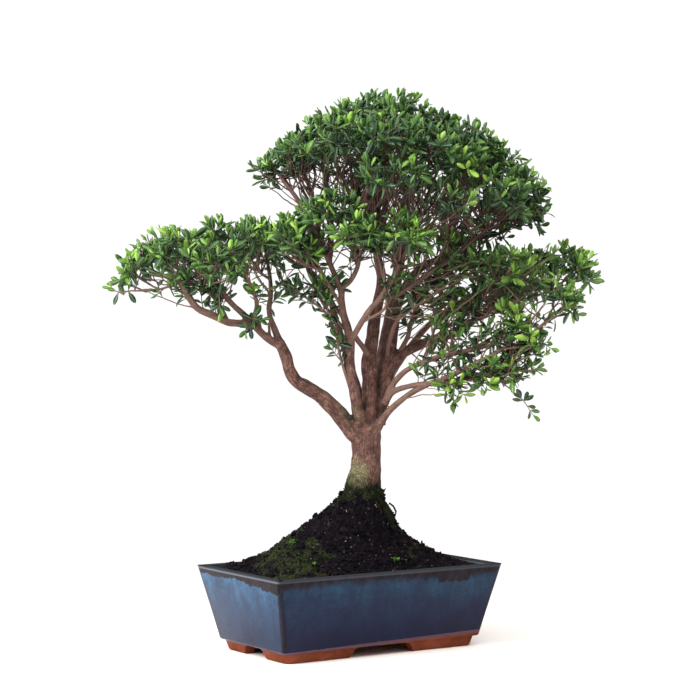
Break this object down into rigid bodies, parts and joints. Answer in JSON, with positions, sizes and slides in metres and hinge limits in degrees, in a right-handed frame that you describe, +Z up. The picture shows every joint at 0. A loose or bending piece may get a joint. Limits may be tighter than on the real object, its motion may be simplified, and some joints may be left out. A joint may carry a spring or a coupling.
{
  "type": "bonsai tree",
  "caption": "Myrtle bonsai with a domed crown and long side pads of small glossy leaves, on a mound of soil in a glazed rectangular pot on corner feet.",
  "frame": {"origin": "on the table, under the middle of the whole object's bounding box", "axes": "+Z up; +X along the long side of the pot, to the right when its long front side is faced; +Y away from that side"},
  "size_m": [0.5186, 0.3594, 0.6559],
  "materials": {
    "glazed_stoneware": "gloss",
    "soil": "matte",
    "bark": "matte",
    "foliage": "satin"
  },
  "bodies": {
    "root": {"crown_spray_01": "foliage", "crown_spray_02": "foliage", "crown_spray_03": "foliage", "crown_spray_04": "foliage", "crown_spray_05": "foliage", "crown_spray_06": "foliage", "crown_spray_07": "foliage", "crown_spray_08": "foliage", "crown_spray_09": "foliage", "crown_spray_10": "foliage", "crown_spray_11": "foliage", "crown_spray_12": "foliage", "crown_spray_13": "foliage", "crown_spray_14": "foliage", "crown_spray_15": "foliage", "crown_spray_16": "foliage", "crown_spray_17": "foliage", "crown_spray_18": "foliage", "crown_spray_19": "foliage", "crown_spray_20": "foliage", "crown_spray_21": "foliage", "crown_spray_22": "foliage", "crown_spray_23": "foliage", "crown_spray_24": "foliage", "crown_spray_25": "foliage", "crown_spray_26": "foliage", "left_spray_01": "foliage", "left_spray_02": "foliage", "left_spray_03": "foliage", "left_spray_04": "foliage", "left_spray_05": "foliage", "left_spray_06": "foliage", "left_spray_07": "foliage", "left_spray_08": "foliage", "left_spray_09": "foliage", "left_spray_10": "foliage", "left_spray_11": "foliage", "middle_spray_01": "foliage", "middle_spray_02": "foliage", "middle_spray_03": "foliage", "pot": "glazed_stoneware", "right_spray_01": "foliage", "right_spray_02": "foliage", "right_spray_03": "foliage", "right_spray_04": "foliage", "right_spray_05": "foliage", "right_spray_06": "foliage", "right_spray_07": "foliage", "right_spray_08": "foliage", "right_spray_09": "foliage", "right_spray_10": "foliage", "right_spray_11": "foliage", "right_spray_12": "foliage", "right_spray_13": "foliage", "right_spray_14": "foliage", "right_spray_15": "foliage", "right_spray_16": "foliage", "right_spray_17": "foliage", "soil": "soil", "trunk_and_branches": "bark"}
  },
  "joints": []
}
